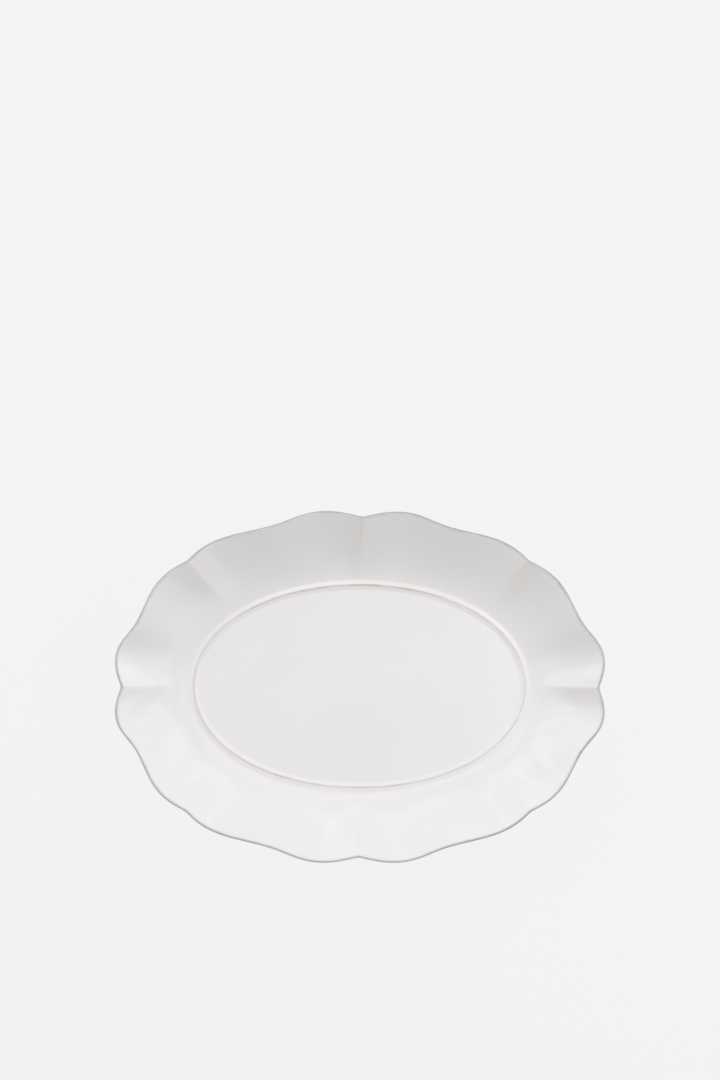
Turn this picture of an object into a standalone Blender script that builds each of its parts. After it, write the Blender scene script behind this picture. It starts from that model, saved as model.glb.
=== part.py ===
"""An oval china serving platter with a broad fluted rim of eight petals.

The real platter is one piece of fired, glazed stoneware. Here each zone of it that has its own job is its own
closed solid: the flat well floor, the raised bead round the floor, the rim, the rounded lip and the foot ring.

Each zone starts as a round blank, turned on a Screw modifier as clay is turned on a wheel. The blank's radius is
then read as the half length of an oval, and the blank is pressed into that oval and into the rim's petals.

Metres, +Z up. The origin is on the table, under the middle of the platter, and +X runs along its length.
"""

import math
from typing import NamedTuple

import bmesh
import bpy

# Driving dimensions
LENGTH = 0.410
WIDTH = 0.2945
WELL_LENGTH = 0.278  # from crest to crest of the bead
WELL_WIDTH = 0.170
FLOOR_HEIGHT = 0.0095  # top of the well floor above the table
RIM_RISE = 0.0330  # from the floor to the top of the lip, away from the notches
SQUARENESS = 2.06  # an ellipse is 2, and a higher number has fuller corners

# Wall
FLOOR_THICKNESS = 0.0060
RIM_THICKNESS = 0.0064  # beside the bead
LIP_THICKNESS = 0.0034

# The raised bead
BEAD_WIDTH = 0.0096
BEAD_HEIGHT = 0.0010  # above the floor
BEAD_OUTER_DROP = 0.0003  # from the crest down to the rim

# The rim's section gets steeper towards the lip: its slope there is this many times its slope at the bead
SLOPE_GAIN = 3.3

# The foot ring
FOOT_LENGTH = 0.256  # along the middle of the ring
FOOT_BASE = 0.0050  # width of the flat that stands on the table
FOOT_TOP = 0.0090  # width where it grows out of the floor
FOOT_CHAMFER = 0.0005

# Petals
PETALS = 8
PETAL_ANGLE = 2 * math.pi / PETALS
DIP = 0.9776  # the outline in the middle of a petal, as a share of the oval
MIDDLE_LIFT = 0.0001  # height of the middle of a petal above its crests, at the lip
CUSP_ROUNDING = math.radians(0.6)
FOLD_ROUNDING = math.radians(0.8)
FLUTE_START = 0.10  # where the petals begin, as a share of the way from the bead to the edge
CREASE_LEAN = math.radians(1.7)  # how far a crease's inner end leans towards the platter's ends
DRIFT_FADE = 1.5  # how fast a notch's drift dies away towards the bead

# Model
HAIRLINE = 0.0003  # gap between neighbouring zones
LIP_BAND = 0.0040  # width of the lip zone on the rim's face
STEPS = 128  # around the platter: a multiple of twice the petals
ON_AXIS = 1e-6


class Pinch(NamedTuple):
    """One notch between two petals, the crests of the outline beside it, and the fold that runs in from it."""

    crest_angle: float  # from the notch to the crest
    crest: float  # the outline at the crest, as a share of the oval
    depth: float  # from the crest in to the notch
    fold_angle: float  # from the fold's ridge to its foot


class Notch(NamedTuple):
    """A pinch as the potter made it."""

    pinch: Pinch
    fold: float  # height of the fold's ridge at the lip
    drift: float  # how far it was set past its even place, at the lip
    size: float  # how much further out the outline runs here than on the even oval, as a share


END_PINCH = Pinch(math.radians(10.8), 1.0113, 0.0345, math.radians(7.4))
CORNER_PINCH = Pinch(math.radians(7.2), 1.0071, 0.0146, math.radians(9.0))
SIDE_PINCH = Pinch(math.radians(10.4), 1.0095, 0.0410, math.radians(4.6))
NOTCHES = (  # anticlockwise from +X
    Notch(END_PINCH, 0.0014, math.radians(-0.35), 0.004),
    Notch(CORNER_PINCH, 0.0011, math.radians(0.9), -0.004),
    Notch(SIDE_PINCH, 0.0017, math.radians(-0.8), -0.002),
    Notch(CORNER_PINCH, 0.0013, math.radians(-0.5), 0.003),
    Notch(END_PINCH, 0.0004, 0.0, -0.001),
    Notch(CORNER_PINCH, 0.0012, math.radians(-0.3), 0.001),
    Notch(SIDE_PINCH, 0.0010, math.radians(-0.2), 0.0),
    Notch(CORNER_PINCH, 0.0017, math.radians(-0.3), -0.005),
)


SIZES = [notch.size for notch in NOTCHES]
DRIFTS = [notch.drift for notch in NOTCHES]


def eased(theta, values):
    """A value that eases from each notch's own to the next one's."""
    place = theta / PETAL_ANGLE
    before = math.floor(place)
    first, second = values[before % PETALS], values[(before + 1) % PETALS]
    return first + (second - first) * (1 - math.cos(math.pi * (place - before))) / 2


def rounded(angle, rounding):
    """An angle from a notch, with the point at 0 rounded off."""
    return math.hypot(angle, rounding) - rounding


def ridge(away, foot, rounding):
    """A ridge's height, 1 on its line and 0 from its foot outwards."""
    return 1 - math.sin(math.pi / 2 * min(rounded(away, rounding) / rounded(foot, rounding), 1))


def petal(theta):
    """(outline as a share of the oval, lift of the wall) at the lip."""
    nearest = round(theta / PETAL_ANGLE)
    away = abs(theta - nearest * PETAL_ANGLE)
    pinch, fold_height, *_ = NOTCHES[nearest % PETALS]
    past_crest = max(0.0, (away - pinch.crest_angle) / (PETAL_ANGLE / 2 - pinch.crest_angle))
    dip = (1 - math.cos(math.pi * past_crest)) / 2
    notch = ridge(away, pinch.crest_angle, CUSP_ROUNDING)
    fold = fold_height * ridge(away, pinch.fold_angle, FOLD_ROUNDING)
    outline = pinch.crest - pinch.depth * notch + (DIP - pinch.crest) * dip
    return outline * (1 + eased(theta, SIZES)), fold + MIDDLE_LIFT * dip


def squared(theta):
    """How much further out than an ellipse the oval runs in this direction."""
    total = abs(math.cos(theta)) ** SQUARENESS + abs(math.sin(theta)) ** SQUARENESS
    return total ** (-1 / SQUARENESS)


def span(part_of_turn):
    """How far a petalled oval of half size 1 spans along the axis that part_of_turn measures."""
    reaches = []
    for step in range(STEPS):
        theta = 2 * math.pi * step / STEPS
        turned = theta + eased(theta, DRIFTS)
        reaches.append(petal(theta)[0] * squared(turned) * part_of_turn(turned))
    return max(reaches) - min(reaches)


WELL_A = WELL_LENGTH / 2
WELL_B = WELL_WIDTH / 2
EDGE_A = LENGTH / span(math.cos)
EDGE_B = WIDTH / span(math.sin)
RIM_A = WELL_A + BEAD_WIDTH / 2  # where the bead ends and the rim begins
LIP_RADIUS = LIP_THICKNESS / 2


def press(s, theta, z):
    """Where a point of the round blank, s from its axis, lies on the petalled oval.

    The oval's half length is s, and its half width follows, so that a band keeps its width all the way round.
    """
    share = (s - WELL_A) / (EDGE_A - WELL_A)
    half_width = max(0.0, WELL_B + share * (EDGE_B - WELL_B))
    outline, lift = petal(theta)
    past_start = max(0.0, (share - FLUTE_START) / (1 - FLUTE_START))
    strength = math.sin(math.pi / 2 * past_start)
    drift = eased(theta, DRIFTS) * max(0.0, share) ** DRIFT_FADE
    turned = theta + drift - CREASE_LEAN * (1 - share) * math.sin(2 * theta)
    size = (1 + strength * (outline - 1)) * squared(turned)
    return s * size * math.cos(turned), half_width * size * math.sin(turned), z + strength * lift


# The section of the wall, as heights above the table at a distance s along the platter's length

RIM_START_HEIGHT = FLOOR_HEIGHT + BEAD_HEIGHT - BEAD_OUTER_DROP


def slope_share(u):
    """The rim's slope at a share u of its width, as a multiple of its slope at the bead."""
    return 1 + (SLOPE_GAIN - 1) * (2 * u - u * u)


def climb_share(u):
    """The rim's climb from the bead to u: the integral of slope_share."""
    return u + (SLOPE_GAIN - 1) * (u * u - u**3 / 3)


def rim_section():
    """(width of the rim's face, its slope at the bead) that bring the lip's top to RIM_RISE."""
    width, slope = EDGE_A - RIM_A - 2 * LIP_RADIUS, 0.0
    for _ in range(20):
        climb = FLOOR_HEIGHT + RIM_RISE - RIM_START_HEIGHT - LIP_RADIUS * (1 - math.cos(math.atan(slope * SLOPE_GAIN)))
        slope = climb / (width * climb_share(1))
        tilt = math.atan(slope * SLOPE_GAIN)
        width = EDGE_A - RIM_A - LIP_RADIUS * (1 + math.sin(tilt))
    return width, slope


RIM_WIDTH, RIM_SLOPE = rim_section()
LIP_TILT = math.atan(RIM_SLOPE * SLOPE_GAIN)


def rim_face(u):
    """A point of the rim's upper face, at a share u of its width."""
    return RIM_A + u * RIM_WIDTH, RIM_START_HEIGHT + RIM_WIDTH * RIM_SLOPE * climb_share(u)


def rim_back(u):
    """The point of the rim's underside that is square to its face at u."""
    s, z = rim_face(u)
    tilt = math.atan(RIM_SLOPE * slope_share(u))
    thickness = RIM_THICKNESS + u * (LIP_THICKNESS - RIM_THICKNESS)
    return s + thickness * math.sin(tilt), z - thickness * math.cos(tilt)


def shares(first, last, count):
    """count numbers in even steps from first to last."""
    return [first + (last - first) * step / (count - 1) for step in range(count)]


def bead_face():
    """The bead's upper face: a smooth rise from the floor to the crest, then a gentle fall to the rim."""
    points = []
    for u in shares(0, 1, 5):
        height = BEAD_HEIGHT * (1 - math.cos(math.pi * u)) / 2
        points.append((WELL_A - (1 - u) * BEAD_WIDTH / 2, FLOOR_HEIGHT + height))
    for u in shares(0, 1, 5)[1:]:
        drop = BEAD_OUTER_DROP * (1 - math.cos(math.pi * u)) / 2
        points.append((WELL_A + u * BEAD_WIDTH / 2, FLOOR_HEIGHT + BEAD_HEIGHT - drop))
    return points


def floor_profile():
    """Half the floor's section, from the axis out over the top and back underneath."""
    edge = WELL_A - BEAD_WIDTH / 2 - HAIRLINE
    under = FLOOR_HEIGHT - FLOOR_THICKNESS
    return [(0, FLOOR_HEIGHT), (edge, FLOOR_HEIGHT), (edge, under), (0, under)]


def bead_profile():
    """The ring under the bead: its face, and an underside that joins the floor's to the rim's."""
    under = FLOOR_HEIGHT - FLOOR_THICKNESS
    back_s, back_z = rim_back(0)
    return [*bead_face(), (back_s, back_z), (WELL_A - BEAD_WIDTH / 4, under), (WELL_A - BEAD_WIDTH / 2, under)]


def rim_profile():
    """The petalled rim, from a hairline outside the bead to a hairline inside the lip."""
    first = HAIRLINE / RIM_WIDTH
    last = 1 - (LIP_BAND + HAIRLINE) / RIM_WIDTH
    face = [rim_face(u) for u in shares(first, last, 7)]
    back = [rim_back(u) for u in shares(last, first, 5)]
    return face + back


def lip_profile():
    """The lip: the last band of the rim and its full-round edge."""
    first = 1 - LIP_BAND / RIM_WIDTH
    end_s, end_z = rim_face(1)
    centre_s = end_s + LIP_RADIUS * math.sin(LIP_TILT)
    centre_z = end_z - LIP_RADIUS * math.cos(LIP_TILT)
    top, outermost = math.pi / 2, 0.0
    turn = [top + LIP_TILT, top, top / 2, outermost, (LIP_TILT - top) / 2, LIP_TILT - top]
    edge = [(centre_s + LIP_RADIUS * math.cos(a), centre_z + LIP_RADIUS * math.sin(a)) for a in turn]
    return [rim_face(first), *edge, rim_back(first)]


def foot_profile():
    """The foot ring: tapered sides down to a flat that stands on the table."""
    middle = FOOT_LENGTH / 2
    top = FLOOR_HEIGHT - FLOOR_THICKNESS - HAIRLINE
    flat = FOOT_BASE / 2
    side = flat + FOOT_CHAMFER
    return [
        (middle - FOOT_TOP / 2, top),
        (middle + FOOT_TOP / 2, top),
        (middle + side, FOOT_CHAMFER),
        (middle + flat, 0),
        (middle - flat, 0),
        (middle - side, FOOT_CHAMFER),
    ]


def new_collection(name):
    collection = bpy.data.collections.new(name)
    bpy.context.scene.collection.children.link(collection)
    return collection


def material(name, colour, roughness):
    made = bpy.data.materials.new(name)
    made.use_nodes = True
    shader = made.node_tree.nodes["Principled BSDF"]
    shader.inputs["Base Color"].default_value = (*colour, 1)
    shader.inputs["Roughness"].default_value = roughness
    shader.inputs["Metallic"].default_value = 0
    return made


def turned_blank(profile, is_ring):
    """The profile turned round the Z axis by a Screw modifier, as a new mesh."""
    flat = bpy.data.meshes.new("profile")
    ends = list(zip(range(len(profile)), range(1, len(profile)), strict=False))
    if is_ring:
        ends.append((len(profile) - 1, 0))
    flat.from_pydata([(s, 0, z) for s, z in profile], ends, [])
    helper = bpy.data.objects.new("profile", flat)
    bpy.context.scene.collection.objects.link(helper)
    screw = helper.modifiers.new("turn", "SCREW")
    screw.steps = screw.render_steps = STEPS
    screw.use_merge_vertices = True
    screw.merge_threshold = ON_AXIS
    graph = bpy.context.evaluated_depsgraph_get()
    turned = bpy.data.meshes.new_from_object(helper.evaluated_get(graph))
    bpy.data.objects.remove(helper)
    bpy.data.meshes.remove(flat)
    return turned


def zone(collection, name, finish, profile, is_ring=True):
    """One zone of the platter, pressed from its turned blank."""
    mesh = turned_blank(profile, is_ring)
    shape = bmesh.new()
    shape.from_mesh(mesh)
    bmesh.ops.remove_doubles(shape, verts=shape.verts, dist=ON_AXIS)
    for vertex in shape.verts:
        x, y, z = vertex.co
        vertex.co = press(math.hypot(x, y), math.atan2(y, x), z)
    bmesh.ops.recalc_face_normals(shape, faces=shape.faces)
    shape.to_mesh(mesh)
    shape.free()
    mesh.name = name
    mesh.materials.clear()
    mesh.materials.append(finish)
    mesh.shade_smooth()
    mesh.set_sharp_from_angle(angle=math.radians(40))
    collection.objects.link(bpy.data.objects.new(name, mesh))


def build():
    for obj in list(bpy.data.objects):
        bpy.data.objects.remove(obj)
    platter = new_collection("serving_platter")
    glaze = material("white_glaze", (0.86, 0.85, 0.85), 0.12)
    bead_glaze = material("bead_glaze", (0.82, 0.78, 0.73), 0.14)
    lip_line = material("lip_line", (0.42, 0.42, 0.46), 0.30)
    bare_clay = material("bare_clay", (0.74, 0.66, 0.56), 0.75)
    zone(platter, "well_floor", glaze, floor_profile(), is_ring=False)
    zone(platter, "well_bead", bead_glaze, bead_profile())
    zone(platter, "petalled_rim", glaze, rim_profile())
    zone(platter, "rim_lip", lip_line, lip_profile())
    zone(platter, "foot_ring", bare_clay, foot_profile())


build()
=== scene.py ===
"""The looks of an oval serving platter with a petalled rim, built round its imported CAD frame.

Every zone of the platter is cut from one fine, smooth skin, so that the glaze runs on from zone
to zone without a seam. Each zone is a closed mesh of its own that stands for the CAD node of the
same name. The foot ring grows out of the floor's underside.

Metres, +Z up, +X along the platter's length, in the CAD's frame.
"""

import math
from typing import NamedTuple

import bpy
import numpy as np
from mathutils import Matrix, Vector

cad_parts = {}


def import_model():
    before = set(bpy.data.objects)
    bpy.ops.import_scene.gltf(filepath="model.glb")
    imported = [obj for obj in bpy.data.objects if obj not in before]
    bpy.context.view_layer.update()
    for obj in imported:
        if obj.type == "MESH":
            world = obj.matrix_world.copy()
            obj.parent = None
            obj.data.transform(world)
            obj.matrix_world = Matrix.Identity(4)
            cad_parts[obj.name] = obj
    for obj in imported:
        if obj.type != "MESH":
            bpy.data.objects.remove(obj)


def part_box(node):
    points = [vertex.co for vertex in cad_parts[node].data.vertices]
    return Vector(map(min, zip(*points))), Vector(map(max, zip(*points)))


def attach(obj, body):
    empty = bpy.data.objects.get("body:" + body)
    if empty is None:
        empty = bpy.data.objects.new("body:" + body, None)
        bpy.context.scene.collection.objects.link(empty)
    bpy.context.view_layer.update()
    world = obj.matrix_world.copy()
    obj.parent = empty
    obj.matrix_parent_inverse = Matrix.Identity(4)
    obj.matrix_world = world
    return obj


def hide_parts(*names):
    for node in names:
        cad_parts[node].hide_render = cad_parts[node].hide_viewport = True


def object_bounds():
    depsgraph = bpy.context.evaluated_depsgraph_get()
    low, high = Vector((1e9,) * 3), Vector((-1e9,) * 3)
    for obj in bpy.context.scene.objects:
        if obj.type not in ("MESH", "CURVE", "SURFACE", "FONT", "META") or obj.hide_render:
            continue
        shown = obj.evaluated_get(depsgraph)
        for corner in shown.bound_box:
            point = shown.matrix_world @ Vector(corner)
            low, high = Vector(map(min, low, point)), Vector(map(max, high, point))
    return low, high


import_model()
cad_low, cad_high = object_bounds()

# Sizes that the frame fixes
floor_low, floor_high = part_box("well_floor")
_, foot_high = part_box("foot_ring")
_, bead_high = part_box("well_bead")
_, lip_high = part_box("rim_lip")
HAIRLINE = 0.0003  # the CAD's gap between neighbouring zones
BEAD_WIDTH = 0.0096
FLOOR_TOP = floor_high.z
FLOOR_UNDER = floor_low.z
BEAD_TOP = bead_high.z

# The wall
RIM_THICKNESS = 0.0064  # beside the bead
LIP_THICKNESS = 0.0034
LIP_RADIUS = LIP_THICKNESS / 2
LIP_BAND = 0.0040  # the part of the rim's face that belongs to the lip
BEAD_OUTER_DROP = 0.0003  # from the bead's crest to the rim
SLOPE_GAIN = 3.3  # the rim's slope at the lip, as a multiple of its slope at the bead

# The oval and its petals
SQUARENESS = 2.06
PETALS = 8
PETAL_ANGLE = 2 * math.pi / PETALS
DIP = 0.9776  # the outline halfway between two notches, as a share of the oval
MIDDLE_LIFT = 0.0001  # of the lip there
CUSP_ROUNDING = math.radians(0.6)
FOLD_ROUNDING = math.radians(0.8)
FLUTE_START = 0.10  # the share of the rim, from the bead, that is left unpinched
CREASE_LEAN = math.radians(1.7)  # of the corner creases, towards the ends at the bead
DRIFT_FADE = 1.5  # the power at which a notch's drift fades from the lip to the bead

# The foot ring
FOOT_BASE = 0.0050  # its width where it stands
FOOT_TOP = 0.0090  # and where it grows out of the floor
FOOT_ROUND = 0.0005
FOOT_FLARE = FOOT_TOP / 2 - FOOT_BASE / 2 - FOOT_ROUND

# The meshes
STEPS = 768  # points around each ring of the skin
CROWDING = 0.75  # how far the points are drawn towards the notches, from 0 to 1
HUB_RADIUS = 0.002  # of the innermost ring of the floor
SAME_POINT = 1e-7
CREASE_WIDTH = math.radians(0.35)  # of the line along a crease where the glaze has run thin
CREASE_FADE = 1.5  # the power at which that line fades from the lip to the bead

# Rings across each run of the wall's section, and across one side of the foot's
FLOOR_RINGS = 12
BEAD_RINGS = 33
RIM_RINGS = 49
LIP_FACE_RINGS = 7
LIP_TURN_RINGS = 19
LIP_BACK_RINGS = 5
RIM_BACK_RINGS = 13
BEAD_BACK_RINGS = 9
FOOT_RINGS = 12

# The camera's frame, at the height of the rim's edge
CAMERA_LENS = 300.0
SENSOR = 36.0
FRAME_HEIGHT = 0.9034
FRAME_MIDDLE = (0.0005, 0.1229)

# The studio
TENT_RADIUS = 1.7
TENT_PANEL = 0.96
LOW_ELEVATION = 10
LOW_STRETCH = 2.1  # how many times wider than high the softboxes of the lowest row are
TOP_PANEL = 0.51
NEAR_RADIUS = 0.75
NEAR_ELEVATION = 38
NEAR_PANEL = 0.45
NEAR_STRETCH = 1.9
TENT_WHITE = (0.928, 0.928, 1.0)
ROOM_WHITE = (1.0, 1.0, 0.68)
ROOM_STRENGTH = 0.199
STUDIO_HALF = 25.0  # half the side of the studio's floor
STUDIO_GREY = (0.04, 0.04, 0.04, 1)
STUDIO_GLOW = 0.848

# The glazes
WHITE = (0.864, 0.846, 0.855, 1)
WHITE_THICK = (0.853, 0.837, 0.845, 1)
TAN = (0.565, 0.49, 0.405, 1)
TAN_LINE = (0.0002, 0.0015)  # how far from the crest the line starts to fade, and ends
ROSE = (0.56, 0.43, 0.34, 1)
EDGE_GREY = (0.35, 0.345, 0.395, 1)
EDGE_LINE = (0.0018, 0.0040)  # the same for the grey line, from the lip's edge
EDGE_PALE = (0.60, 0.60, 0.64, 1)
EDGE_BLEED = (0.0024, 0.0056)
CLAY = (0.62, 0.53, 0.43, 1)
CLAY_PALE = (0.70, 0.61, 0.50, 1)
BARE_HEIGHT = (0.0006, 0.0010)  # where the foot's bare clay starts to give way to glaze, and ends


class Pinch(NamedTuple):
    """A kind of notch between two petals: the outline beside it, and the fold that runs in."""

    crest_angle: float  # from the notch to the crest
    crest: float  # the outline at the crest, as a share of the oval
    depth: float  # from the crest in to the notch
    fold_angle: float  # from the fold's ridge to its foot


class Notch(NamedTuple):
    """A pinch as the potter made it."""

    pinch: Pinch
    fold: float  # height of the fold's ridge at the lip
    bared: float  # how far the glaze has drawn back from that ridge, from 0 to 1
    drift: float  # how far it was set past its even place, at the lip
    size: float  # how much further out the outline runs here than on the even oval, as a share
    tan: float  # how tan the bead's crest shows here, from 0 to 1
    # line is partly the grey line's own unevenness and partly painted light: it is set fainter at
    # the front notches, lower left and front middle, to lift the shade that falls on the lip there
    line: float  # how strong the grey line on the lip is here, from 0 to 1


END_PINCH = Pinch(math.radians(10.8), 1.0113, 0.0345, math.radians(7.4))
CORNER_PINCH = Pinch(math.radians(7.2), 1.0071, 0.0146, math.radians(9.0))
SIDE_PINCH = Pinch(math.radians(10.4), 1.0095, 0.0410, math.radians(4.6))
NOTCHES = (  # anticlockwise from +X
    Notch(END_PINCH, 0.0014, 0.7, math.radians(-0.35), 0.004, 0.35, 0.98),
    Notch(CORNER_PINCH, 0.0011, 0.35, math.radians(0.9), -0.004, 0.64, 0.82),
    Notch(SIDE_PINCH, 0.0017, 0.4, math.radians(-0.8), -0.002, 0.85, 0.74),
    Notch(CORNER_PINCH, 0.0013, 0.3, math.radians(-0.5), 0.003, 0.58, 0.79),
    Notch(END_PINCH, 0.0004, 0.7, 0.0, -0.001, 0.45, 0.72),
    Notch(CORNER_PINCH, 0.0012, 0.1, math.radians(-0.3), 0.001, 0.66, 0.46),
    Notch(SIDE_PINCH, 0.0010, 0.1, math.radians(-0.2), 0.0, 0.53, 0.37),
    Notch(CORNER_PINCH, 0.0017, 0.1, math.radians(-0.3), -0.005, 0.48, 0.82),
)


# ---- The skin's shape ----


def eased(theta, values):
    """A value that eases from each notch's own to the next one's, for an array of angles."""
    place = theta / PETAL_ANGLE
    before = np.floor(place).astype(int)
    first, second = (np.array(values)[(before + step) % PETALS] for step in (0, 1))
    return first + (second - first) * (1 - np.cos(np.pi * (place - before))) / 2


def rounded(angle, rounding):
    """An angle from a notch, with the point at 0 rounded off."""
    return np.hypot(angle, rounding) - rounding


def ridge(away, foot, rounding):
    """A ridge's height, 1 on its line and 0 from its foot outwards."""
    return 1 - np.sin(np.pi / 2 * np.minimum(rounded(away, rounding) / rounded(foot, rounding), 1))


def petal(theta):
    """(outline as a share of the oval, lift of the wall) at the lip, for an array of angles."""
    nearest = np.rint(theta / PETAL_ANGLE)
    away = np.abs(theta - nearest * PETAL_ANGLE)
    pinches = np.array([(*notch.pinch, notch.fold) for notch in NOTCHES])
    crest_angle, crest, depth, fold_angle, fold = pinches[nearest.astype(int) % PETALS].T
    past_crest = np.maximum((away - crest_angle) / (PETAL_ANGLE / 2 - crest_angle), 0)
    dip = (1 - np.cos(np.pi * past_crest)) / 2
    outline = crest - depth * ridge(away, crest_angle, CUSP_ROUNDING) + (DIP - crest) * dip
    size = 1 + eased(theta, [notch.size for notch in NOTCHES])
    return outline * size, fold * ridge(away, fold_angle, FOLD_ROUNDING) + MIDDLE_LIFT * dip


def squared(theta):
    total = np.abs(np.cos(theta)) ** SQUARENESS + np.abs(np.sin(theta)) ** SQUARENESS
    return total ** (-1 / SQUARENESS)


# The points stand closest together at the notches, where the fold's ridge is sharpest
ANGLES = 2 * math.pi * np.arange(STEPS) / STEPS
ANGLES -= CROWDING * np.sin(PETALS * ANGLES) / PETALS
OUTLINE, LIFT = petal(ANGLES)
DRIFT = eased(ANGLES, [notch.drift for notch in NOTCHES])
EDGE_TURN = ANGLES + DRIFT
EDGE_REACH = OUTLINE * squared(EDGE_TURN)
NEAREST = np.rint(ANGLES / PETAL_ANGLE).astype(int)
OFF_NOTCH = np.abs(ANGLES - NEAREST * PETAL_ANGLE)
BARED = np.array([notch.bared for notch in NOTCHES])[NEAREST % PETALS]
EDGE_A = (cad_high.x - cad_low.x) / np.ptp(EDGE_REACH * np.cos(EDGE_TURN))
EDGE_B = (cad_high.y - cad_low.y) / np.ptp(EDGE_REACH * np.sin(EDGE_TURN))
WELL_A = floor_high.x + HAIRLINE + BEAD_WIDTH / 2
# The half width grows steadily with the half length, from the floor's edge to the lip's
WIDTH_GAIN = (EDGE_B - floor_high.y) / (EDGE_A - floor_high.x)
WELL_B = EDGE_B - WIDTH_GAIN * (EDGE_A - WELL_A)
RIM_A = WELL_A + BEAD_WIDTH / 2
RIM_START = BEAD_TOP - BEAD_OUTER_DROP


def press(s, z):
    """The ring of points that each of a section's points becomes when the platter is pressed.

    s is how far out the point is along +X, before the rim is pinched, and z is its height.
    """
    s, z = np.asarray(s)[:, None], np.asarray(z)[:, None]
    share = (s - WELL_A) / (EDGE_A - WELL_A)
    half_width = np.maximum(WELL_B + (s - WELL_A) * WIDTH_GAIN, 0)
    strength = np.sin(np.pi / 2 * np.maximum((share - FLUTE_START) / (1 - FLUTE_START), 0))
    drift = DRIFT * np.maximum(share, 0) ** DRIFT_FADE
    turned = ANGLES + drift - CREASE_LEAN * (1 - share) * np.sin(2 * ANGLES)
    size = (1 + strength * (OUTLINE - 1)) * squared(turned)
    x, y = s * size * np.cos(turned), half_width * size * np.sin(turned)
    return np.stack([x, y, z + strength * LIFT], axis=-1)


def skin_rings(s, z):
    """The rings of the skin. Inside the floor's edge they are smaller and smaller copies of it."""
    edge = WELL_A - BEAD_WIDTH / 2
    rings = press(np.maximum(s, edge), z)
    rings[..., :2] *= np.minimum(s / edge, 1)[:, None, None]
    return rings


# ---- The wall's section ----


def climb_share(u):
    """How far the rim has climbed at u, the share of its width, were its slope 1 at the bead."""
    return u + (SLOPE_GAIN - 1) * (u * u - u**3 / 3)


SETTLING_ROUNDS = 20


def rim_section():
    """(width of the rim's face, its slope at the bead) that bring the lip to the CAD's box.

    Each depends a little on the other, so they are worked out in turn until they settle.
    """
    top = cad_high.z - max(notch.fold for notch in NOTCHES)
    width, slope = EDGE_A - RIM_A - 2 * LIP_RADIUS, 0.0
    for _ in range(SETTLING_ROUNDS):
        tilt = math.atan(slope * SLOPE_GAIN)
        climb = top - RIM_START - LIP_RADIUS * (1 - math.cos(tilt))
        slope = climb / (width * climb_share(1))
        width = EDGE_A - RIM_A - LIP_RADIUS * (1 + math.sin(tilt))
    return width, slope


RIM_WIDTH, RIM_SLOPE = rim_section()
LIP_TILT = math.atan(RIM_SLOPE * SLOPE_GAIN)


def rim_face(u):
    return RIM_A + u * RIM_WIDTH, RIM_START + RIM_WIDTH * RIM_SLOPE * climb_share(u)


def rim_back(u):
    s, z = rim_face(u)
    tilt = np.arctan(RIM_SLOPE * (1 + (SLOPE_GAIN - 1) * (2 * u - u * u)))
    thickness = RIM_THICKNESS + u * (LIP_THICKNESS - RIM_THICKNESS)
    return s + thickness * np.sin(tilt), z - thickness * np.cos(tilt)


def bead_face(count):
    """From the floor over the crest to the rim."""
    u = np.linspace(-1, 1, count)
    inner = FLOOR_TOP + (BEAD_TOP - FLOOR_TOP) * (1 + np.cos(np.pi * u)) / 2
    outer = BEAD_TOP - BEAD_OUTER_DROP * (1 - np.cos(np.pi * u)) / 2
    return WELL_A + u * BEAD_WIDTH / 2, np.where(u < 0, inner, outer)


def lip_turn(count):
    """The fully rounded edge, from the rim's face to its back."""
    end_s, end_z = rim_face(1)
    centre_s = end_s + LIP_RADIUS * math.sin(LIP_TILT)
    centre_z = end_z - LIP_RADIUS * math.cos(LIP_TILT)
    angle = np.linspace(LIP_TILT + math.pi / 2, LIP_TILT - math.pi / 2, count)
    return centre_s + LIP_RADIUS * np.cos(angle), centre_z + LIP_RADIUS * np.sin(angle)


def bead_back(count):
    """From the rim's underside in to the floor's, on a smooth curve."""
    start_s, start_z = rim_back(0)
    u = np.linspace(0, 1, count)
    end_s = WELL_A - BEAD_WIDTH / 2
    height = (1 - u) ** 2
    return start_s + (end_s - start_s) * u, FLOOR_UNDER + (start_z - FLOOR_UNDER) * height


def skin_section():
    """The wall's closed section, from the axis over the top, round the lip and back underneath.

    Returns its points, the distance along it from the bead's crest to each, and the runs of points
    that each zone covers.
    """
    band = 1 - LIP_BAND / RIM_WIDTH
    across_floor = np.linspace(HUB_RADIUS, WELL_A - BEAD_WIDTH / 2, FLOOR_RINGS)
    lip_face = rim_face(np.linspace(band, 1, LIP_FACE_RINGS))
    lip_back = rim_back(np.linspace(1, band, LIP_BACK_RINGS))
    runs = [
        ("well_floor", (across_floor, np.full(FLOOR_RINGS, FLOOR_TOP))),
        ("well_bead", bead_face(BEAD_RINGS)),
        ("petalled_rim", rim_face(np.linspace(0, band, RIM_RINGS))),
        ("rim_lip", np.hstack([lip_face, lip_turn(LIP_TURN_RINGS), lip_back])),
        ("petalled_rim", rim_back(np.linspace(band, 0, RIM_BACK_RINGS))),
        ("well_bead", bead_back(BEAD_BACK_RINGS)),
        ("well_floor", (across_floor[::-1], np.full(FLOOR_RINGS, FLOOR_UNDER))),
    ]
    points, covers = [], {}
    for zone, run in runs:
        first = max(len(points) - 1, 0)
        for point in np.transpose(run):
            if not points or math.dist(point, points[-1]) > SAME_POINT:
                points.append(point)
        covers.setdefault(zone, []).append(range(first, len(points)))
    points = np.array(points)
    steps = np.linalg.norm(np.diff(points, axis=0), axis=1)
    along = np.concatenate([[0], np.cumsum(steps)])
    crest = np.argmin(np.hypot(points[:, 0] - WELL_A, points[:, 1] - BEAD_TOP))
    return points, along - along[crest], covers


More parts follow.
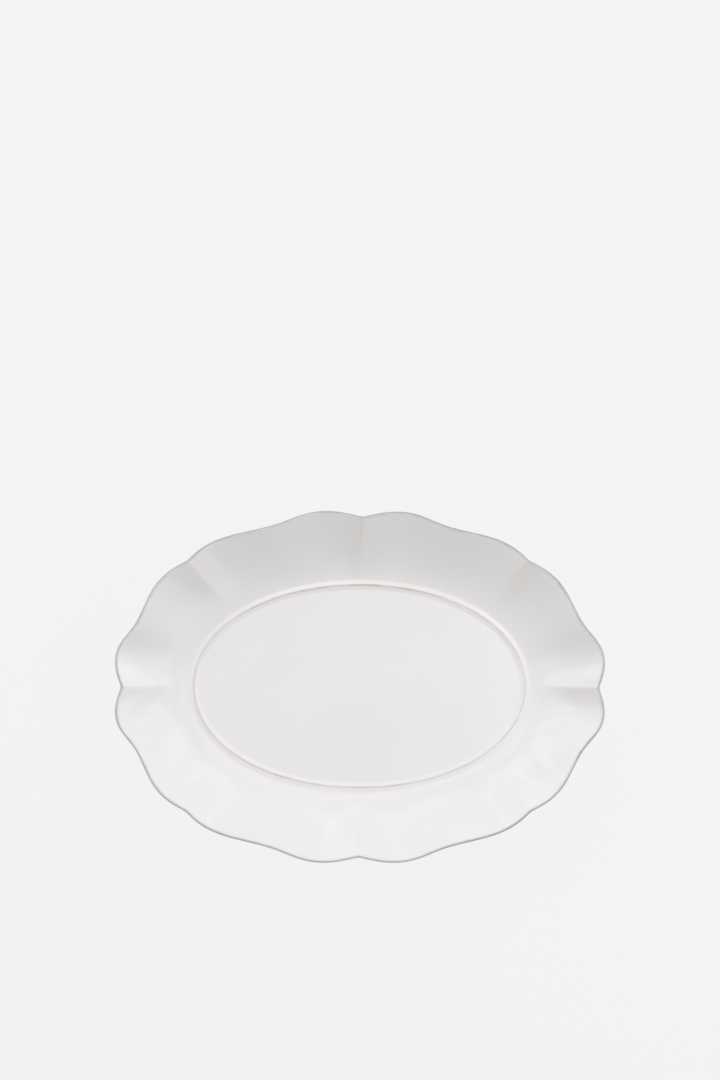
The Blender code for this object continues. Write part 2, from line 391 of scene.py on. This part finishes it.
def foot_section():
    """The foot ring's section: flared out of the floor, tapered, and flat where it stands.

    Returns its points, from the outer top under to the inner top, and the distance along it.
    """
    middle = foot_high.x - FOOT_TOP / 2
    height = FLOOR_UNDER * (1 - np.sin(np.linspace(0, np.pi / 2, FOOT_RINGS)))
    below_round = np.clip(1 - height / FOOT_ROUND, 0, 1)
    half = FOOT_BASE / 2 + FOOT_ROUND * np.sqrt(1 - below_round**2)
    half += FOOT_FLARE * (height / FLOOR_UNDER) ** 3
    s = np.concatenate([middle + half, middle - half[::-1]])
    z = np.concatenate([height, height[::-1]])
    steps = np.hypot(np.diff(s), np.diff(z))
    return np.stack([s, z], 1), np.concatenate([[0], np.cumsum(steps)])


# ---- Meshes ----


def normals_of(rings):
    """The unit normal at each point of rings that run outwards over the top and back below."""
    along = np.gradient(rings, axis=0)
    around = np.roll(rings, -1, axis=1) - np.roll(rings, 1, axis=1)
    normals = np.cross(along, around)
    return normals / np.linalg.norm(normals, axis=-1, keepdims=True)


def crease_of(s):
    """How bare a crease's ridge is, at each point of the rings at s: most at the lip."""
    share = np.clip((np.asarray(s) - WELL_A) / (EDGE_A - WELL_A), 0, 1)
    return share[:, None] ** CREASE_FADE * BARED * np.exp(-((OFF_NOTCH / CREASE_WIDTH) ** 2))


def solid(name, rings, normals, across, walls, has_hubs=False):
    """A closed solid from rings of points, each joined to the next and the last to the first.

    walls are the rings that a flat wall inside the clay leads on from. With has_hubs the first and
    last rings are closed to a point each, on the platter's axis, and aren't joined.
    """
    count = len(rings)
    ring = np.arange(count - 1 if has_hubs else count)[:, None]
    column = np.arange(STEPS)
    near, far = ring * STEPS, (ring + 1) % count * STEPS
    after = np.roll(column, -1)
    quads = np.stack([near + column, far + column, far + after, near + after], axis=-1)
    faces = quads.reshape(-1, 4).tolist()
    vertices, vertex_normals = rings.reshape(-1, 3), normals.reshape(-1, 3)
    distances = np.repeat(across, STEPS)
    if has_hubs:
        top_hub, under_hub = count * STEPS, count * STEPS + 1
        last = (count - 1) * STEPS
        sides = np.stack([column, after], 1).tolist()
        faces += [[top_hub, a, b] for a, b in sides]
        faces += [[under_hub, last + b, last + a] for a, b in sides]
        vertices = np.vstack([vertices, [0, 0, rings[0, 0, 2]], [0, 0, rings[-1, 0, 2]]])
        vertex_normals = np.vstack([vertex_normals, [0, 0, 1], [0, 0, -1]])
        distances = np.append(distances, [across[0], across[-1]])
    mesh = bpy.data.meshes.new(name)
    mesh.from_pydata(vertices.tolist(), [], faces)
    mesh.shade_smooth()
    is_wall = np.zeros(len(faces), bool)
    for wall in walls:
        is_wall[wall * STEPS : (wall + 1) * STEPS] = True
    set_normals(mesh, vertex_normals, is_wall)
    give_values(mesh, "across", distances)
    return mesh


def give_values(mesh, name, values):
    """One number for each of the mesh's points, which its material reads by name."""
    made = mesh.attributes.new(name, "FLOAT", "POINT")
    made.data.foreach_set("value", values.astype(np.float32).ravel())


def set_normals(mesh, vertex_normals, is_wall):
    """Gives the skin its own normals, and the walls inside the clay flat ones."""
    corners = np.zeros(len(mesh.loops), np.int32)
    mesh.loops.foreach_get("vertex_index", corners)
    sizes = np.zeros(len(mesh.polygons), np.int32)
    mesh.polygons.foreach_get("loop_total", sizes)
    flat = np.zeros(len(mesh.polygons) * 3, np.float32)
    mesh.polygons.foreach_get("normal", flat)
    flat = np.repeat(flat.reshape(-1, 3), sizes, axis=0)
    on_wall = np.repeat(is_wall, sizes)[:, None]
    mesh.normals_split_custom_set(np.where(on_wall, flat, vertex_normals[corners]).tolist())


def piece(name, node, mesh, finish):
    """A finished piece that stands for a CAD node."""
    mesh.materials.append(finish)
    made = bpy.data.objects.new(name, mesh)
    bpy.context.scene.collection.objects.link(made)
    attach(made, "root")
    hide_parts(node)
    return made


# ---- Materials ----


MIX_COLOURS = (6, 7)  # the Mix node's sockets for colours share their names with its others
MIX_RESULT = 2


class Shader:
    """A Principled material and short ways to wire up its nodes."""

    def __init__(self, name):
        self.material = bpy.data.materials.new(name)
        self.material.use_nodes = True
        self.nodes = self.material.node_tree.nodes
        self.links = self.material.node_tree.links
        self.surface = self.nodes["Principled BSDF"]
        self.place = self.nodes.new("ShaderNodeTexCoord").outputs["Object"]

    def join(self, value, socket):
        if isinstance(value, bpy.types.NodeSocket):
            self.links.new(value, socket)
        else:
            socket.default_value = value

    def set(self, **values):
        for name, value in values.items():
            socket = name.replace("_", " ").title().replace("Ior", "IOR")
            self.join(value, self.surface.inputs[socket])

    def noise(self, scale, detail=2.0, roughness=0.5):
        node = self.nodes.new("ShaderNodeTexNoise")
        node.inputs["Scale"].default_value = scale
        node.inputs["Detail"].default_value = detail
        node.inputs["Roughness"].default_value = roughness
        self.join(self.place, node.inputs["Vector"])
        return node.outputs["Fac"]

    def ramp(self, value, low, high, start=0.0, end=1.0):
        """value taken smoothly from low..high to start..end."""
        node = self.nodes.new("ShaderNodeMapRange")
        node.interpolation_type = "SMOOTHSTEP"
        given = {"Value": value, "From Min": low, "From Max": high, "To Min": start, "To Max": end}
        for name, amount in given.items():
            self.join(amount, node.inputs[name])
        return node.outputs["Result"]

    def patches(self, scale, detail, start=0.0, end=1.0, spread=0.15):
        """A value that drifts between start and end, with softer edges the larger spread is."""
        return self.ramp(self.noise(scale, detail), 0.5 - spread, 0.5 + spread, start, end)

    def maths(self, operation, *values):
        node = self.nodes.new("ShaderNodeMath")
        node.operation = operation
        for value, socket in zip(values, node.inputs, strict=False):
            self.join(value, socket)
        return node.outputs[0]

    def mix(self, share, first, second):
        node = self.nodes.new("ShaderNodeMix")
        node.data_type = "RGBA"
        self.join(share, node.inputs["Factor"])
        for value, socket in zip((first, second), MIX_COLOURS, strict=True):
            self.join(value, node.inputs[socket])
        return node.outputs[MIX_RESULT]

    def attribute(self, name):
        node = self.nodes.new("ShaderNodeAttribute")
        node.attribute_name = name
        return node.outputs["Fac"]

    def bump(self, height, distance, under=None):
        node = self.nodes.new("ShaderNodeBump")
        node.inputs["Distance"].default_value = distance
        self.join(height, node.inputs["Height"])
        if under is not None:
            self.join(under, node.inputs["Normal"])
        return node.outputs["Normal"]


def white_of(shader):
    """The white glaze: where it has run thick it is a little greyer."""
    return shader.mix(shader.patches(14, 3), WHITE, WHITE_THICK)


def creased_white_of(shader):
    """White glaze that has run thin along the creases, near the lip, where the clay warms it."""
    patchy = shader.ramp(shader.noise(70, 3, 0.6), 0.35, 0.6, 0.15, 0.5)
    thin = shader.maths("MULTIPLY", shader.attribute("crease"), patchy)
    return shader.mix(thin, white_of(shader), ROSE)


def glaze_surface(shader):
    """A glossy skin that flowed in the kiln: long soft waves and a faint orange peel."""
    waves = shader.bump(shader.noise(30, 2), 0.00025)
    shader.set(
        roughness=shader.patches(22, 3, 0.06, 0.12, spread=0.2),
        ior=1.52,
        normal=shader.bump(shader.noise(380, 2), 0.000012, waves),
    )


def white_glaze():
    """The floor's glaze."""
    shader = Shader("white_glaze")
    shader.set(base_color=white_of(shader))
    glaze_surface(shader)
    return shader.material


def rim_glaze():
    """The petals' glaze."""
    shader = Shader("rim_glaze")
    shader.set(base_color=creased_white_of(shader))
    glaze_surface(shader)
    return shader.material


def bead_glaze():
    """White glaze that has drawn back from the bead's crest, where the clay shows as a tan line."""
    shader = Shader("bead_glaze")
    wander = shader.patches(45, 3, -0.00015, 0.00015, spread=0.2)
    off_crest = shader.maths("ABSOLUTE", shader.maths("ADD", shader.attribute("across"), wander))
    uneven = shader.patches(60, 2, 0.75, 1.25, spread=0.2)
    strength = shader.maths("MULTIPLY", shader.attribute("tan"), uneven)
    thin = shader.maths("MULTIPLY", shader.ramp(off_crest, *TAN_LINE, 1, 0), strength)
    shader.set(base_color=shader.mix(thin, white_of(shader), TAN))
    glaze_surface(shader)
    return shader.material


def lip_line(edge):
    """White glaze with a grey line round the lip's edge, which bleeds a little into the white."""
    shader = Shader("lip_line")
    from_edge = shader.maths("ABSOLUTE", shader.maths("SUBTRACT", shader.attribute("across"), edge))
    speckle = shader.ramp(shader.noise(700, 3, 0.7), 0.35, 0.65, -0.0002, 0.0002)
    wander = shader.patches(50, 3, -0.0002, 0.0003, spread=0.2)
    reach = shader.maths("ADD", from_edge, shader.maths("ADD", speckle, wander))
    # The line's strength per notch: the grey line is real, but it is set fainter at the front
    # notches as painted light that lifts the shade on the lip there
    depth = shader.maths("MULTIPLY", shader.attribute("line"), shader.patches(28, 2, 0.9, 1.1))
    core = shader.maths("MULTIPLY", shader.ramp(reach, *EDGE_LINE, 1, 0), depth)
    bleed = shader.ramp(reach, *EDGE_BLEED, 0.30, 0)
    white = shader.mix(bleed, creased_white_of(shader), EDGE_PALE)
    shader.set(base_color=shader.mix(core, white, EDGE_GREY))
    glaze_surface(shader)
    return shader.material


def bare_foot():
    """The foot ring: glazed down its sides and wiped bare where it stands."""
    shader = Shader("bare_clay")
    height = shader.nodes.new("ShaderNodeSeparateXYZ")
    shader.join(shader.place, height.inputs[0])
    ragged = shader.patches(160, 3, -0.0002, 0.0002, spread=0.2)
    bare = shader.ramp(shader.maths("ADD", height.outputs["Z"], ragged), *BARE_HEIGHT, 1, 0)
    sand = shader.mix(shader.patches(1500, 2), CLAY, CLAY_PALE)
    shader.set(
        base_color=shader.mix(bare, white_of(shader), sand),
        roughness=shader.ramp(bare, 0, 1, 0.12, 0.75),
        normal=shader.bump(shader.maths("MULTIPLY", shader.noise(1800, 3), bare), 0.00008),
    )
    return shader.material


# ---- The platter ----


def build_platter():
    """Cuts the skin into its four zones and adds the foot ring."""
    points, across, covers = skin_section()
    rings = skin_rings(points[:, 0], points[:, 1])
    normals = normals_of(rings)
    crest_to_edge = across[np.argmax(points[:, 0])]
    finishes = {
        "well_floor": ("white_glaze", white_glaze()),
        "well_bead": ("bead_glaze", bead_glaze()),
        "petalled_rim": ("white_glaze", rim_glaze()),
        "rim_lip": ("lip_line", lip_line(crest_to_edge)),
    }
    for zone, (slot, finish) in finishes.items():
        runs = covers[zone]
        picked = np.concatenate([np.array(run) for run in runs])
        ends = np.cumsum([len(run) for run in runs]) - 1
        parts = rings[picked], normals[picked], across[picked]
        mesh = solid(zone, *parts, ends.tolist(), has_hubs=zone == "well_floor")
        if zone in ("petalled_rim", "rim_lip"):
            give_values(mesh, "crease", crease_of(points[picked, 0]))
        if zone == "well_bead":
            tans = eased(ANGLES, [notch.tan for notch in NOTCHES])
            give_values(mesh, "tan", np.tile(tans, len(picked)))
        if zone == "rim_lip":
            # The grey line's strength round the lip, fainter at the front: partly the line's own
            # unevenness, partly painted light against the shade there
            lines = eased(ANGLES, [notch.line for notch in NOTCHES])
            give_values(mesh, "line", np.tile(lines, len(picked)))
        piece(zone + "_glazed", zone, mesh, finish)
    foot_points, foot_across = foot_section()
    foot_rings = press(foot_points[:, 0], foot_points[:, 1])
    wall = len(foot_points) - 1
    mesh = solid("foot_ring", foot_rings, normals_of(foot_rings), foot_across, [wall])
    piece("foot_ring_wiped", "foot_ring", mesh, bare_foot())


# ---- The studio ----


def floor():
    """A dark sheet that glows evenly, so that the platter casts hardly any shadow on it."""
    mesh = bpy.data.meshes.new("studio_floor")
    signs = ((-1, -1), (1, -1), (1, 1), (-1, 1))
    corners = [(x * STUDIO_HALF, y * STUDIO_HALF, 0) for x, y in signs]
    mesh.from_pydata(corners, [], [(0, 1, 2, 3)])
    shader = Shader("studio_floor")
    shader.set(base_color=STUDIO_GREY, roughness=1.0)
    shader.set(emission_color=(1, 1, 1, 1), emission_strength=STUDIO_GLOW)
    mesh.materials.append(shader.material)
    made = bpy.data.objects.new("studio_floor", mesh)
    bpy.context.scene.collection.objects.link(made)


def softbox(name, azimuth, elevation, distance, side, power, stretch=1.0):
    """A round softbox, or one that is stretched sideways, that faces the platter's middle."""
    turn, climb = math.radians(azimuth), math.radians(elevation)
    across = math.cos(climb)
    toward = Vector((across * math.cos(turn), across * math.sin(turn), math.sin(climb)))
    light = bpy.data.lights.new(name, "AREA")
    light.shape = "ELLIPSE"
    light.size = side * stretch
    light.size_y = side
    light.energy = power
    light.color = TENT_WHITE
    made = bpy.data.objects.new(name, light)
    made.location = toward * distance
    made.rotation_euler = (-toward).to_track_quat("-Z", "Y").to_euler()
    made.visible_camera = False
    bpy.context.scene.collection.objects.link(made)


def light_tent():
    """Half a tent of softboxes behind the platter, two in front, and closer ones at its sides.

    The light is strongest from behind on the left, and one strong low box stands on the right.
    """
    rows = (  # (elevation, azimuths, the power of each box)
        (28, (15, 45, 75), 1.1),
        (28, (105, 135, 165), 2),
        (48, (0, 45, 90), 1.1),
        (48, (135, 180), 1.4),
        (70, (0, 72, 144), 1.9),
        (90, (0,), 1.3),
    )
    for elevation, azimuths, power in rows:
        for azimuth in azimuths:
            name = f"tent_{elevation}_{azimuth}"
            softbox(name, azimuth, elevation, TENT_RADIUS, TENT_PANEL, power)
    for azimuth, power in ((0, 6), (135, 2), (180, 3)):
        name = f"low_{azimuth}"
        softbox(name, azimuth, LOW_ELEVATION, TENT_RADIUS, TENT_PANEL, power, LOW_STRETCH)
    softbox("front_right", 315, 48, TENT_RADIUS, TENT_PANEL, 1)
    softbox("front_top", 270, 76, TENT_RADIUS, TOP_PANEL, 0.3)
    sides = (((325, 0, 35), 0.5), ((145, 180), 0.35))
    for azimuths, power in sides:
        for azimuth in azimuths:
            name = f"near_{azimuth}"
            softbox(name, azimuth, NEAR_ELEVATION, NEAR_RADIUS, NEAR_PANEL, power, NEAR_STRETCH)


def world():
    """The dim, even light of the room."""
    made = bpy.data.worlds.new("studio")
    made.use_nodes = True
    background = made.node_tree.nodes["Background"]
    background.inputs["Color"].default_value = (*ROOM_WHITE, 1)
    background.inputs["Strength"].default_value = ROOM_STRENGTH
    bpy.context.scene.world = made


def camera():
    """Straight down from far off, with the platter below the middle of an upright frame."""
    data = bpy.data.cameras.new("camera")
    data.lens = CAMERA_LENS
    data.sensor_width = SENSOR
    data.clip_end = 100
    made = bpy.data.objects.new("camera", data)
    rim_height = lip_high.z - LIP_RADIUS
    made.location = (*FRAME_MIDDLE, rim_height + CAMERA_LENS / SENSOR * FRAME_HEIGHT)
    bpy.context.scene.collection.objects.link(made)
    bpy.context.scene.camera = made


build_platter()
floor()
camera()
world()
light_tent()
bpy.context.scene.view_settings.view_transform = "Standard"
